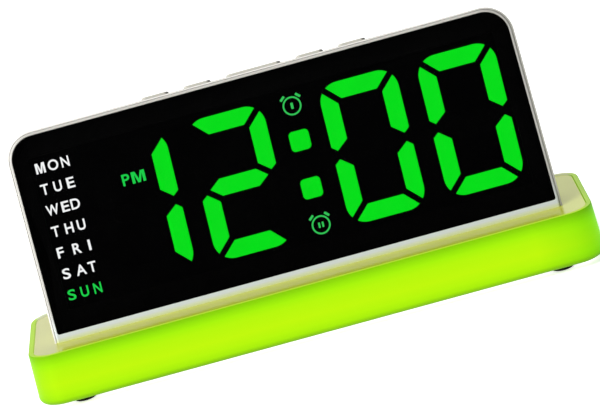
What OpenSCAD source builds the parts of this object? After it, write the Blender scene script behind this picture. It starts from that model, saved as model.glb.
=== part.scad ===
// Digital alarm clock: a thin display head leans back on a long base with a lit ring.
// Millimetres. +X is right, -Y is the front, +Z is up.
// The origin lies on the table, under the middle of the base.

/* [Base] */
// Width of the base at its top rim
base_w = 202.6; // [196:0.2:230]
// Depth of the base at its top rim
base_d = 53; // [49:0.5:64]
// Height of the night-light ring
base_h = 18.6; // [17.5:0.1:26]
// Plan radius of the base corners at the rim
base_corner_r = 9; // [4.5:0.5:9]
// Outward slope of the ring wall, in degrees
base_draft = 2.5; // [0.5:0.5:5]
// Thickness of the ring wall at the rim
ring_wall = 1.65; // [1.4:0.05:2.2]
// Radius of the ring's bottom edge
ring_edge_r = 2.5; // [1.5:0.25:3.5]
// Radius of the ring's rim edge
rim_edge_r = 0.5; // [0.2:0.1:0.7]
// Thickness of the deck plate
deck_t = 2; // [1.6:0.1:2.6]
// Depth of the deck below the rim
deck_drop = 0.3; // [0.1:0.1:0.8]
// Thickness of the ring's bottom flange and of the base plate inside it
flange_t = 1.6; // [1.5:0.1:2.2]
// Thickness of the base plate over the flange
plate_t = 1.4; // [1.2:0.1:2]
// Diameter of a rubber foot
foot_d = 8; // [5:0.5:9]
// Height of the feet below the base
foot_h = 1.6; // [0.8:0.1:2.5]

/* [Head] */
// Width of the display lens
lens_w = 180; // [174:1:186]
// Thickness of the display lens
lens_t = 1.8; // [1.5:0.1:2.4]
// Radius of the lens's top corners
lens_corner_r = 8.6; // [7:0.2:10]
// Angle that the head leans back, in degrees
lean = 19; // [15:0.5:22]
// Distance from the rim's front to the face at the deck
face_setback = 12.7; // [10:0.1:15]
// Width of the bezel beside and above the lens
bezel_border = 0.95; // [0.9:0.05:1.6]
// Height of the bezel's sill below the lens
sill_h = 2.8; // [2:0.1:3.5]
// Depth of the bezel's wall
bezel_depth = 6; // [5.4:0.1:6.6]
// Open seam between the bezel and the rear housing
seam = 0.15; // [0.15:0.05:0.4]
// Thickness of the rear housing's front lip
lip_t = 0.6; // [0.5:0.05:1]
// Wall of the rear housing
housing_wall = 1.8; // [1.5:0.1:2.2]
// Radius of the rear housing's back edge
housing_edge_r = 3; // [2:0.25:3.5]
// Room behind the main board
rear_room = 3.4; // [3.2:0.1:6]

/* [Display] */
// Width of a digit
digit_w = 28.3; // [26:0.1:29]
// Height of a digit
digit_h = 50.5; // [45:0.5:58]
// Height of the black face above the digits, and the same below them
face_margin = 9.75; // [9:0.05:12]
// Width of a light bar
bar_w = 6.3; // [5:0.1:7]
// Gap between neighbouring light bars
bar_gap = 2; // [1.4:0.1:2.6]
// Outer corner radius of a digit
digit_r = 7; // [5:0.5:8]
// Distance between the two digits of a pair
digit_pitch = 35.5; // [34:0.1:36.5]
// Centre of the colon, right of the lens's middle
colon_x = 9.2; // [8:0.1:10]
// Distance from the colon's centre to the digits beside it
colon_room = 9.95; // [9:0.05:10.5]
// Side of a colon square
colon_side = 7.4; // [6:0.1:8]
// Height of a colon square above or below the middle
colon_rise = 8.55; // [7:0.05:10]
// Width of a weekday window
day_w = 13; // [11:0.2:14]
// Distance between weekday rows
day_pitch = 7.63; // [7:0.01:7.8]
// Thickness of the display reflector
reflector_t = 5.2; // [4.8:0.1:6]
// Thickness of the circuit boards
board_t = 1.6; // [1.2:0.1:2]

/* [Buttons] */
// Width of a small button
key_w = 10; // [8:0.1:11]
// Width of the snooze button
snooze_w = 20; // [16:0.2:22]
// Depth of the buttons, front to back
key_d = 4; // [3.4:0.1:4.2]
// Distance from the snooze button's centre to the first small button
key_first = 20.5; // [19:0.1:22]
// Distance between the small buttons of a pair
key_pitch = 15.4; // [14:0.1:17]
// Height of the buttons above the housing
key_proud = 1.5; // [0.9:0.1:2]
// Travel of the buttons
key_travel = 0.5; // [0.3:0.1:0.7]

/* [Inside] */
// Screw thread diameter
screw_d = 2.2; // [2:0.1:2.6]
// Diameter of the speaker
speaker_d = 28; // [24:1:30]
// Diameter of a backup cell
cell_d = 10.5; // [9.5:0.1:10.5]
// Length of a backup cell
cell_len = 44.5; // [40:0.5:46]
// Width of the power inlet's shell
inlet_w = 8.9; // [8:0.1:10]
// Height of the power inlet's shell
inlet_h = 3.2; // [2.8:0.1:3.6]

/* [Hidden] */
$fn = 48;
// Clearances: close fit, sliding fit, loose seat, screw in its bore, screw in its passage
fit = 0.05;
slide_gap = 0.2;
seat_gap = 0.15;
thread_gap = 0.03;
shank_gap = 0.25;
// How far joined shapes run into each other, and how far a cut runs past a surface
lap = 0.5;
over = 1;
// How far an edge's arc crosses the walls it joins
arc_lap = 0.02;

// Screw head and boss sizes that follow the thread
head_ratio = 2;
head_h_ratio = 0.55;
head_d = head_ratio * screw_d;
head_h = head_h_ratio * screw_d;
head_gap = 0.3;
boss_d = 2 * screw_d;
bore_d = screw_d + 2 * thread_gap;
pass_d = screw_d + 2 * shank_gap;
sink_d = head_d + 2 * head_gap;

// Small screws of the key board, the power board and the battery door
small_d = 1.6;
small_bore_d = small_d + 2 * thread_gap;
small_pass_d = small_d + 2 * shank_gap;
small_head_d = head_ratio * small_d;

// Base levels
rim_z = foot_h + base_h;
deck_z = rim_z - deck_drop;
deck_low = deck_z - deck_t;
flange_z = foot_h + flange_t;
plate_z = flange_z + plate_t;
ring_flare = base_h * tan(base_draft);
flange_w = 1;
ledge_w = 1.4;
ledge_h = 1.5;
inner_w = base_w - 2 * ring_wall;
inner_d = base_d - 2 * ring_wall;
inner_r = base_corner_r - ring_wall;
flange_in_w = inner_w - 2 * flange_w;
flange_in_d = inner_d - 2 * flange_w;
flange_in_r = inner_r - flange_w;

// Power board and inlet at the left rear
power_inset = 18;
power_x = -base_w / 2 + power_inset;
power_w = 18;
power_d = 17;
power_t = 1.2;
power_stand = 3;
power_z = plate_z + power_stand;
inlet_z = power_z + power_t + inlet_h / 2;
inlet_wall = 0.3;
inlet_len = 7;
inlet_mouth = base_d / 2;
power_back_gap = 1.6;
power_y = inner_d / 2 - power_back_gap - power_d / 2;
power_post_d = 4;
power_post_x = 6.6;
power_post_y = 5.6;
power_spots = [for (s = [-1, 1]) [power_x + s * power_post_x, power_y - power_post_y]];
power_screw_len = 3.6;
plug_w = 8;
plug_d = 4;
plug_h = 3;
plug_shift_x = 3;
plug_shift_y = 1;
plug_x = power_x + plug_shift_x;
plug_y = power_y - plug_shift_y;
plug_z = power_z + power_t + plug_h / 2;

// Night-light boards behind the front and rear walls
light_end_gap = 1.5;
light_board_l = 2 * (-power_x - power_w / 2 - light_end_gap);
light_board_h = 9;
light_board_t = 1;
light_inset = 3.3;
light_y = inner_d / 2 - light_inset;
lamp_count = 12;
lamp_pitch = 11.6;
lamp_w = 3.5;
lamp_t = 0.9;
rib_x = 5 * lamp_pitch;
rib_w = 4;
rib_t = 1.2;
rib_h = 6;
rib_y = light_y + light_board_t / 2 + fit;

// Feet and base screws
foot_sink = 0.6;
foot_inset = 15.2;
foot_edge_gap = 0.5;
foot_x = base_w / 2 - foot_inset;
foot_y = flange_in_d / 2 - foot_d / 2 - foot_edge_gap;
foot_spots = [for (sx = [-1, 1]) for (sy = [-1, 1]) [sx * foot_x, sy * foot_y]];
end_screw_gap = 1.6;
end_screw_x = inner_w / 2 - boss_d / 2 - end_screw_gap;
end_screw_y = 8;
mid_screw_gap = 2;
mid_screw_x = 8;
mid_screw_y = light_y - boss_d / 2 - mid_screw_gap;
base_screw_spots = [
    for (sx = [-1, 1]) for (sy = [-1, 1]) [sx * end_screw_x, sy * end_screw_y],
    for (sy = [-1, 1]) [mid_screw_x, sy * mid_screw_y]
];
base_sink = 1.5;
base_screw_len = 8;

// Battery bay, to the right under the deck
bay_inset = 54.5;
bay_x = base_w / 2 - bay_inset;
bay_wall = 1.2;
contact_t = 0.5;
cell_gap = 0.25;
nub_h = 0.8;
nub_d = 3.8;
bay_l = cell_len + 2 * contact_t + 2 * cell_gap;
bay_d = 2 * cell_d + 3 * cell_gap;
door_t = 1.6;
door_sink = 0.9;
door_lip = 2;
door_tab = 10;
door_x0 = bay_x - bay_l / 2 - door_lip;
door_x1 = bay_x + bay_l / 2 + door_tab;
door_d = bay_d + 2 * door_lip;
door_top = foot_h + door_t;
door_screw_x = door_x1 - door_tab / 2;
cell_z = door_top + cell_gap + cell_d / 2;
bay_top = cell_z + cell_d / 2 + cell_gap;
door_boss_h = 6;
door_screw_len = 5.5;

// Speaker, to the left under the deck
speaker_inset = 55.5;
speaker_x = speaker_inset - base_w / 2;
speaker_flange = 1;
basket_d = speaker_d - 5;
basket_h = 5;
magnet_d = 16;
magnet_h = 2.6;
cone_lift = 0.4;
speaker_wall = 1.2;
speaker_cup_d = speaker_d + 2 * seat_gap;
speaker_cup_h = 3;
grille_pitch = 3.6;
grille_hole = 1.8;

// Head levels, in the head's own frame: y runs back from the face, z up along it
face_y = -base_d / 2 + face_setback;
lens_h = digit_h + 2 * face_margin;
lens_recess = 0.1;
lens_back = lens_recess + lens_t;
tape_t = 0.2;
tape_back = lens_back + tape_t;
lens_foot_r = 0.8;
lens_top = sill_h + lens_h;
mid_z = sill_h + lens_h / 2;
ledge_t = 1.5;
ledge_in = 2;
ledge_back = tape_back + ledge_t;
bezel_half = lens_w / 2 + bezel_border;
bezel_top = lens_top + bezel_border;
bezel_r = lens_corner_r + bezel_border;
bezel_flat = 0.15;
bezel_edge_r = bezel_border - bezel_flat;
housing_half = bezel_half + seam + lip_t;
housing_top = bezel_top + seam + lip_t;
housing_r = bezel_r + seam + lip_t;
lip_y = 0.5;
lip_edge_r = 0.4;
reflector_y = lens_back + slide_gap;
board_y = reflector_y + reflector_t;
board_back = board_y + board_t;
rear_in = board_back + rear_room;
head_depth = rear_in + housing_wall;
floor_t = 2;
floor_gap = 0.4;
floor_y = ledge_back + floor_gap;

// Head bosses and screws
side_boss_inset = 3.4;
side_boss_x = lens_w / 2 - side_boss_inset;
side_boss_rise = 16;
side_boss_drop = 14;
side_boss_z = [side_boss_rise, lens_top - side_boss_drop];
case_boss_inset = 20;
case_boss_x = lens_w / 2 - case_boss_inset;
case_boss_rise = 5.4;
case_boss_drop = 3.8;
case_boss_z = [sill_h + case_boss_rise, lens_top - case_boss_drop];
case_joint_gap = 0.3;
case_joint_y = board_y - case_joint_gap;
case_seat_t = 1.2;
case_seat_y = rear_in - case_seat_t;
case_seat_wall = 0.9;
case_seat_d = sink_d + 2 * case_seat_wall;
case_screw_len = 7.4;
board_screw_len = 5;
neck_outer_x = 60;
neck_inner_x = 25;
neck_x = [-neck_outer_x, -neck_inner_x, neck_inner_x, neck_outer_x];
neck_setback = 9.8;
neck_y = face_y + neck_setback;
neck_boss_h = 4.6;
neck_screw_len = 7;
cable_d = 3;
cable_gap = 0.1;
cable_y = board_back + cable_d / 2 + cable_gap;
cable_hole_gap = 0.6;
cable_hole_d = cable_d + 2 * cable_hole_gap;

// Display layout, measured from the lens's middle
reflector_side_gap = 0.4;
reflector_half = side_boss_x - boss_d / 2 - reflector_side_gap;
reflector_low_rim = 1.8;
reflector_low = mid_z - digit_h / 2 - reflector_low_rim;
reflector_top_rim = 2.2;
reflector_top = mid_z + digit_h / 2 + reflector_top_rim;
board_inset = 1.2;
board_half = lens_w / 2 - board_inset;
board_rise = 0.3;
board_low = reflector_low + board_rise;
minute_tens_x = colon_x + colon_room;
minute_units_x = minute_tens_x + digit_pitch;
hour_units_x = colon_x - colon_room - digit_w;
hour_tens_x = hour_units_x - digit_pitch;
digit_xs = [hour_tens_x, hour_units_x, minute_tens_x, minute_units_x];
chip_room = 1;
bar_t = reflector_t - chip_room;
tip_slope = 0.8;
tip_x = 2;
tip_y = 0.7 * bar_gap;
colon_r = 1.2;
day_margin = 6.65;
day_x = -lens_w / 2 + day_margin + day_w / 2;
day_h = 4.8;
pm_x = hour_tens_x + digit_w / 2;
pm_z = 11.3;
pm_w = 9.6;
icon_d = 9.6;
icon_inset = 4;
icon_z = [digit_h / 2 - icon_inset, icon_inset - digit_h / 2];
legend_t = 0.6;
legend_seat = 0.7;
day_lift = 0.3;
legend_boxes = [
    for (i = [-3 : 3]) [day_x, day_lift + i * day_pitch, day_w],
    [pm_x, pm_z, pm_w]
];
chip_w = 1.6;
chip_h = 0.8;
chip_t = 0.6;

// Buttons and keys
key_xs = [-key_first - key_pitch, -key_first, 0, key_first, key_first + key_pitch];
key_ws = [key_w, key_w, snooze_w, key_w, key_w];
key_r = 1.6;
key_edge_r = 0.7;
key_forward = 0.3;
key_y = (bezel_depth + rear_in) / 2 - key_forward;
key_flange_x = 0.8;
key_flange_y = 0.35;
key_flange_t = 1;
key_ceiling = housing_top - housing_wall;
key_flange_gap = 0.1;
key_flange_top = key_ceiling - key_flange_gap;
key_stem_d = 3;
key_stem_h = 1.2;
key_stem_low = key_flange_top - key_flange_t - key_stem_h;
plunger_d = 2.4;
plunger_top = key_stem_low - fit;
plunger_h = 1.6;
switch_w = 6;
switch_d = 3.6;
switch_h = 2.4;
switch_gap = 0.3;
switch_top = plunger_top - key_travel - switch_gap;
switch_low = switch_top - switch_h;
key_board_t = 1.2;
key_board_end = 9;
key_board_half = key_xs[4] + key_board_end;
key_board_gap = 0.7;
key_board_y0 = bezel_depth + key_board_gap;
key_board_y1 = rear_in - slide_gap;
key_board_low = switch_low - key_board_t;
shelf_inset = 3;
shelf_x = key_board_half - shelf_inset;
shelf_w = 5;
shelf_d = rear_room - slide_gap;
shelf_screw_y = rear_in - small_head_d / 2 - slide_gap;
shelf_h = 4;
key_screw_len = 4;

// Parts behind the main board: clock chip, two drivers, resistor, crystal can, cable socket
clock_chip_x = -30;
clock_chip_w = 12;
clock_chip_t = 1.6;
driver_x = 20;
driver_pitch = 18;
driver_z = 8;
driver_w = 9;
driver_h = 16;
driver_t = 2;
resistor_w = 5;
resistor_h = 2;
resistor_t = 1.2;
crystal_x = -12;
crystal_d = 4;
crystal_t = 2.4;
socket_w = 8;
socket_h = 6;
socket_rise = 1;
socket_t = rear_room - slide_gap;

// Shared shapes

// Rectangle with round corners, centred
module round_rect(w, d, r) {
    square([w - 2 * r, d], center = true);
    square([w, d - 2 * r], center = true);
    for (sx = [-1, 1]) for (sy = [-1, 1])
        translate([sx * (w / 2 - r), sy * (d / 2 - r)]) circle(r);
}

// Carries a profile round a rectangle with round corners: x points outwards, y up
module sweep_rect(w, d, r) {
    sx = [1, -1, -1, 1];
    sy = [1, 1, -1, -1];
    for (k = [0 : 3]) {
        half = k % 2 == 0 ? w / 2 : d / 2;
        run = k % 2 == 0 ? d - 2 * r : w - 2 * r;
        translate([sx[k] * (w / 2 - r), sy[k] * (d / 2 - r), 0])
            rotate([0, 0, 90 * k]) rotate_extrude(angle = 90) translate([r, 0]) children();
        rotate([0, 0, 90 * k]) translate([half, run / 2, 0])
            rotate([90, 0, 0]) linear_extrude(run) children();
    }
}

// Plate with round corners and a round top edge
module pad(w, d, r, h, edge) {
    band = edge + lap;
    inset = edge + lap / 2;
    linear_extrude(h) round_rect(w - 2 * inset, d - 2 * inset, r - inset);
    sweep_rect(w, d, r) {
        translate([-band, 0]) square([band - edge, h]);
        translate([-edge, 0]) square([edge, h - edge]);
        translate([-edge, h - edge]) intersection() {
            circle(edge);
            square(edge);
        }
    }
}

// Pan-head screw: its seat at the origin, the thread along +Z, a cross slot in the head
module screw(d, len) {
    high = head_h_ratio * d;
    cylinder(d = d, h = len);
    difference() {
        translate([0, 0, -high]) cylinder(d = head_ratio * d, h = high);
        for (a = [0, 90]) rotate([0, 0, a])
            translate([0, 0, -high]) cube([1.4 * d, 0.25 * d, high], center = true);
    }
}

// Round rod from one point to another
module rod(from, to, d) {
    v = to - from;
    length = norm(v);
    translate(from) rotate([0, acos(v[2] / length), atan2(v[1], v[0])]) cylinder(d = d, h = length);
}

// Places the head's own frame on the deck
module in_head() {
    translate([0, face_y, deck_z]) rotate([-lean, 0, 0]) children();
}

// Turns a flat shape in x and z into a slab between two depths of the head
module slab(y0, y1) {
    translate([0, y1, 0]) rotate([90, 0, 0]) linear_extrude(y1 - y0) children();
}

// Space under a level of the deck, seen in the head's frame
module under_deck(level) {
    reach = 300;
    rotate([lean, 0, 0]) translate([-reach, -reach, level - 2 * reach]) cube(2 * reach);
}

// Outline of the head with two round top corners
module head_shape(half, top, r) {
    translate([-half, 0]) square([2 * half, top - r]);
    translate([-half + r, 0]) square([2 * (half - r), top]);
    for (s = [-1, 1]) translate([s * (half - r), top - r]) circle(r);
}

// Carries a profile up one side, over the top and down the other: x points outwards, y back
module head_sweep(half, top, r) {
    for (m = [0, 1]) mirror([m, 0, 0]) {
        translate([half, 0, 0]) linear_extrude(top - r) children();
        translate([half - r, 0, top - r]) rotate([-90, 0, 0]) rotate([0, 0, -90])
            rotate_extrude(angle = 90) translate([r, 0]) children();
    }
    translate([half - r, 0, top]) rotate([0, -90, 0]) linear_extrude(2 * (half - r)) children();
}

// Outline of the lens; grow widens it by a clearance
module lens_shape(grow) {
    half = lens_w / 2 + grow;
    foot = lens_foot_r;
    intersection() {
        head_shape(half, lens_top + grow, lens_corner_r + grow);
        translate([-half, sill_h - grow]) square([2 * half, lens_h + 2 * grow]);
        union() {
            translate([-half, sill_h - grow + foot]) square([2 * half, lens_h + 2 * grow]);
            translate([-half + foot, sill_h - grow]) square([2 * (half - foot), lens_h]);
            for (s = [-1, 1]) translate([s * (half - foot), sill_h - grow + foot]) circle(foot);
        }
    }
}

// Base pieces

// Outer limits of the ring's section: sloped wall, round rim edge and round bottom edge
module ring_envelope() {
    reach = 6;
    low_x = ring_flare - ring_edge_r * tan(base_draft) - ring_edge_r / cos(base_draft);
    low_y = ring_edge_r * (1 + sin(base_draft));
    rim_y = base_h - rim_edge_r;
    rim_x = ring_flare - rim_y * tan(base_draft) - rim_edge_r / cos(base_draft);
    intersection() {
        polygon([[-reach, 0], [ring_flare, 0], [0, base_h], [-reach, base_h]]);
        union() {
            translate([-reach, low_y]) square([2 * reach, base_h]);
            translate([-reach, 0]) square([reach + low_x, base_h]);
            translate([low_x + arc_lap, ring_edge_r - arc_lap]) circle(ring_edge_r);
        }
        union() {
            translate([-reach, 0]) square([2 * reach, rim_y + rim_edge_r * sin(base_draft)]);
            translate([-reach, 0]) square([reach + rim_x, base_h]);
            translate([rim_x + arc_lap, rim_y + arc_lap]) circle(rim_edge_r);
        }
    }
}

module ring_profile() {
    ledge_y = base_h - deck_drop - deck_t - ledge_h;
    intersection() {
        ring_envelope();
        union() {
            translate([-ring_wall, 0]) square([ring_wall + ring_flare, base_h]);
            translate([-ring_wall - ledge_w, ledge_y]) square([ledge_w + ring_wall / 2, ledge_h]);
            translate([-ring_wall - flange_w, 0]) square([flange_w + ring_wall / 2, flange_t]);
        }
    }
}

// Outline of the inlet's shell seen from behind; grow widens it
module inlet_shape(grow) {
    round_rect(inlet_w + 2 * grow, inlet_h + 2 * grow, inlet_h / 2 + grow - 0.1);
}

module at_inlet(y0, y1) {
    translate([power_x, y1, inlet_z]) rotate([90, 0, 0]) linear_extrude(y1 - y0) children();
}

module night_light_ring() {
    color("greenyellow") difference() {
        translate([0, 0, foot_h]) sweep_rect(base_w, base_d, base_corner_r) ring_profile();
        at_inlet(inner_d / 2 - over, base_d / 2 + ring_flare + over) inlet_shape(seat_gap);
    }
}

module base_deck() {
    gap = slide_gap;
    edge = 0.3;
    color("beige") difference() {
        union() {
            translate([0, 0, deck_low])
                pad(inner_w - 2 * gap, inner_d - 2 * gap, inner_r - gap, deck_t, edge);
            for (p = base_screw_spots)
                translate([p[0], p[1], plate_z])
                    cylinder(d = boss_d, h = deck_low - plate_z + lap);
        }
        for (p = base_screw_spots)
            translate([p[0], p[1], plate_z - over])
                cylinder(d = bore_d, h = base_screw_len + over);
        for (x = neck_x)
            translate([x, neck_y, deck_low - over])
                cylinder(d = pass_d, h = deck_t + 2 * over);
        in_head() cable_hole();
    }
}

module grille_holes() {
    ring_counts = [1, 6, 12];
    for (k = [0 : 2]) for (i = [0 : ring_counts[k] - 1])
        rotate([0, 0, 360 * i / ring_counts[k]])
            translate([k * grille_pitch, 0, foot_h - over])
                cylinder(d = grille_hole, h = flange_t + plate_t + 2 * over);
}

// Two upright ribs with a slot that holds a light board
module light_rib(x) {
    inner_rib_y = rib_y - light_board_t - 2 * fit - rib_t;
    for (y = [inner_rib_y, rib_y])
        translate([x - rib_w / 2, y, plate_z - lap]) cube([rib_w, rib_t, rib_h]);
}

// The plate's flat body: it fills the ring's flange and lies on it
module plate_body() {
    translate([0, 0, foot_h]) linear_extrude(flange_t + plate_t) round_rect(
        flange_in_w - 2 * seat_gap, flange_in_d - 2 * seat_gap, flange_in_r - seat_gap
    );
    translate([0, 0, flange_z]) linear_extrude(plate_t) round_rect(
        inner_w - 2 * slide_gap, inner_d - 2 * slide_gap, inner_r - slide_gap
    );
}

module base_plate() {
    bay_x0 = bay_x - bay_l / 2;
    bay_h = bay_top + bay_wall - plate_z;
    full_t = flange_t + plate_t;
    color("whitesmoke") difference() {
        union() {
            plate_body();
            translate([bay_x0 - bay_wall, -bay_d / 2 - bay_wall, plate_z - lap])
                cube([bay_l + 2 * bay_wall, bay_d + 2 * bay_wall, bay_h + lap]);
            translate([door_screw_x, 0, plate_z - lap]) cylinder(d = boss_d, h = door_boss_h);
            translate([speaker_x, 0, plate_z - lap])
                cylinder(d = speaker_cup_d + 2 * speaker_wall, h = speaker_cup_h + lap);
            for (x = [-rib_x, rib_x]) for (m = [0, 1]) mirror([0, m, 0]) light_rib(x);
            for (p = power_spots)
                translate([p[0], p[1], plate_z - lap])
                    cylinder(d = power_post_d, h = power_stand + lap);
        }
        translate([bay_x0, -bay_d / 2, foot_h - over])
            cube([bay_l, bay_d, bay_top - foot_h + over]);
        translate([door_x0, -door_d / 2, foot_h - over])
            cube([door_x1 - door_x0, door_d, door_t + over]);
        translate([door_screw_x, 0, foot_h])
            cylinder(d = small_bore_d, h = door_sink + door_screw_len + lap);
        translate([speaker_x, 0, plate_z]) cylinder(d = speaker_cup_d, h = speaker_cup_h + over);
        translate([speaker_x, 0, 0]) grille_holes();
        for (p = base_screw_spots) translate([p[0], p[1], foot_h - over]) {
            cylinder(d = sink_d, h = base_sink + over);
            cylinder(d = pass_d, h = full_t + 2 * over);
        }
        for (p = foot_spots)
            translate([p[0], p[1], foot_h - over])
                cylinder(d = foot_d + 2 * fit, h = foot_sink + over);
        for (p = power_spots)
            translate([p[0], p[1], plate_z])
                cylinder(d = small_bore_d, h = power_stand + over);
    }
}

module rubber_feet() {
    edge = 0.5;
    full_h = foot_h + foot_sink;
    color("dimgray") for (p = foot_spots) translate([p[0], p[1], 0]) rotate_extrude() {
        square([foot_d / 2 - edge, full_h]);
        translate([0, edge]) square([foot_d / 2, full_h - edge]);
        translate([foot_d / 2 - edge, edge]) intersection() {
            circle(edge);
            translate([0, -edge]) square(edge);
        }
    }
}

module base_screws() {
    color("silver") for (p = base_screw_spots)
        translate([p[0], p[1], foot_h + base_sink]) screw(screw_d, base_screw_len);
}

module battery_door() {
    gap = seat_gap;
    grip_w = 1;
    grip_l = 12;
    grip_deep = 0.5;
    grip_pitch = 3;
    color("whitesmoke") difference() {
        translate([door_x0 + gap, -door_d / 2 + gap, foot_h])
            cube([door_x1 - door_x0 - 2 * gap, door_d - 2 * gap, door_t - fit]);
        translate([door_screw_x, 0, foot_h - over]) {
            cylinder(d = small_pass_d, h = door_t + 2 * over);
            cylinder(d = small_head_d + 2 * head_gap, h = door_sink + over);
        }
        for (i = [1 : 3])
            translate([door_x0 + grip_pitch * i, -grip_l / 2, foot_h - over])
                cube([grip_w, grip_l, grip_deep + over]);
    }
}

module battery_door_screw() {
    color("silver") translate([door_screw_x, 0, foot_h + door_sink]) screw(small_d, door_screw_len);
}

module battery_cells() {
    color("goldenrod") for (s = [-1, 1]) {
        x0 = bay_x - s * (cell_len / 2);
        translate([x0, s * (cell_d + cell_gap) / 2, cell_z]) rotate([0, s * 90, 0]) {
            cylinder(d = cell_d, h = cell_len - nub_h);
            cylinder(d = nub_d, h = cell_len);
        }
    }
}

module battery_contacts() {
    side = 0.8 * cell_d;
    color("silver") for (sx = [-1, 1]) for (sy = [-1, 1])
        translate([bay_x + sx * (bay_l - contact_t) / 2, sy * (cell_d + cell_gap) / 2, cell_z])
            cube([contact_t, side, side], center = true);
}

module speaker_basket() {
    wall = 0.8;
    color("darkgray") translate([speaker_x, 0, plate_z]) rotate_extrude() difference() {
        union() {
            square([speaker_d / 2, speaker_flange]);
            square([basket_d / 2, basket_h]);
        }
        square([basket_d / 2 - wall, basket_h - wall]);
    }
}

module speaker_cone() {
    rim = basket_d / 2 - 1;
    dome = 3;
    rise = 2.2;
    paper = 0.8;
    color("dimgray") translate([speaker_x, 0, plate_z + cone_lift]) rotate_extrude() polygon([
        [0, rise], [dome, rise], [rim, 0],
        [rim, paper], [dome + paper / 2, rise + paper], [0, rise + paper]
    ]);
}

module speaker_magnet() {
    color("gray") translate([speaker_x, 0, plate_z + basket_h])
        cylinder(d = magnet_d, h = magnet_h);
}

module light_board(side) {
    translate([-light_board_l / 2, side * light_y - light_board_t / 2, plate_z])
        cube([light_board_l, light_board_t, light_board_h]);
}

module front_light_board() {
    color("white") light_board(-1);
}

module rear_light_board() {
    color("white") light_board(1);
}

module night_light_lamps() {
    color("lightyellow") for (side = [-1, 1]) for (i = [0 : lamp_count - 1])
        translate([
            (i - (lamp_count - 1) / 2) * lamp_pitch,
            side * (light_y + light_board_t / 2 + lamp_t / 2),
            plate_z + light_board_h / 2
        ]) cube([lamp_w, lamp_t, lamp_w], center = true);
}

module power_board() {
    color("seagreen") difference() {
        translate([power_x - power_w / 2, power_y - power_d / 2, power_z])
            cube([power_w, power_d, power_t]);
        for (p = power_spots)
            translate([p[0], p[1], power_z - over])
                cylinder(d = small_pass_d, h = power_t + 2 * over);
    }
}

module power_board_screws() {
    color("silver") for (p = power_spots)
        translate([p[0], p[1], power_z + power_t]) rotate([180, 0, 0])
            screw(small_d, power_screw_len);
}

module power_inlet() {
    color("silver") difference() {
        at_inlet(inlet_mouth - inlet_len, inlet_mouth) inlet_shape(0);
        at_inlet(inlet_mouth - inlet_len + inlet_wall, inlet_mouth + over)
            inlet_shape(-inlet_wall);
    }
}

module inlet_tongue() {
    back = inlet_mouth - inlet_len + inlet_wall;
    tip_recess = 0.8;
    tip = inlet_mouth - tip_recess;
    tongue_w = 0.75 * inlet_w;
    tongue_t = 0.7;
    color("black") translate([power_x - tongue_w / 2, back, inlet_z - tongue_t / 2])
        cube([tongue_w, tip - back, tongue_t]);
}

module cable_plug() {
    color("ivory") translate([plug_x, plug_y, plug_z])
        cube([plug_w, plug_d, plug_h], center = true);
}

// Passage of the cable through the deck and the head's floor, in the head's frame
module cable_hole() {
    translate([0, cable_y, -2 * deck_t])
        cylinder(d = cable_hole_d, h = 2 * deck_t + reflector_low);
}

// Cable from the power board under the deck, up through the deck and behind the main board
module head_cable() {
    bend_d = 1.3 * cable_d;
    collar_d = 1.15 * cable_d;
    run_z = deck_low - head_h - head_gap - bend_d / 2;
    end_z = reflector_low + socket_rise;
    entry = [0, face_y + cable_y / cos(lean) + (run_z - deck_z) * tan(lean), run_z];
    top_end = [
        0,
        face_y + cable_y * cos(lean) + end_z * sin(lean),
        deck_z - cable_y * sin(lean) + end_z * cos(lean)
    ];
    turn = [plug_x, plug_y, run_z];
    plug_top = [plug_x, plug_y, plug_z + plug_h / 2];
    color("white") {
        rod(entry, top_end, cable_d);
        rod(entry, turn, cable_d);
        rod(plug_top, turn, collar_d);
        for (p = [entry, turn]) translate(p) rotate([37, 23, 11]) sphere(d = bend_d);
    }
}

// Head pieces

module neck_screws() {
    color("silver") for (x = neck_x)
        translate([x, neck_y, deck_low]) screw(screw_d, neck_screw_len);
}

// Section of the rear housing's wall: thin lip over the bezel, full wall, round back edge
module housing_profile() {
    edge = housing_edge_r;
    inner_edge_r = max(0.4, edge - housing_wall);
    inner_x = -housing_wall - inner_edge_r;
    difference() {
        union() {
            translate([-edge, lip_y + lip_edge_r])
                square([edge, head_depth - edge - lip_y - lip_edge_r]);
            translate([-edge, lip_y]) square([edge - lip_edge_r, lip_edge_r]);
            translate([-lip_edge_r, lip_y + lip_edge_r]) intersection() {
                circle(lip_edge_r);
                translate([0, -lip_edge_r]) square(lip_edge_r);
            }
            translate([-edge, head_depth - edge]) intersection() {
                circle(edge);
                square(edge);
            }
            translate([-edge - lap, rear_in]) square([lap, housing_wall]);
        }
        translate([-edge - over, lip_y - over])
            square([over + edge - lip_t, bezel_depth + fit + over - lip_y]);
        translate([-edge - over, lip_y])
            square([over + edge - housing_wall, rear_in - inner_edge_r - lip_y]);
        translate([-edge - over, lip_y]) square([over + edge + inner_x, rear_in - lip_y]);
        translate([inner_x, rear_in - inner_edge_r]) circle(inner_edge_r);
    }
}

// Floor of the housing: level with the deck, though the head leans
module housing_floor() {
    tall = 30;
    inner_half = housing_half - housing_wall + slide_gap;
    floor_half = lens_w / 2 - slide_gap;
    behind_bezel = bezel_depth + slide_gap;
    back = rear_in + lap;
    intersection() {
        rotate([lean, 0, 0]) translate([-housing_half, 0, 0])
            cube([2 * housing_half, tall, floor_t]);
        union() {
            translate([-floor_half, floor_y, 0])
                cube([2 * floor_half, back - floor_y, tall]);
            translate([-inner_half, behind_bezel, 0])
                cube([2 * inner_half, back - behind_bezel, tall]);
        }
    }
}

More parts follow.
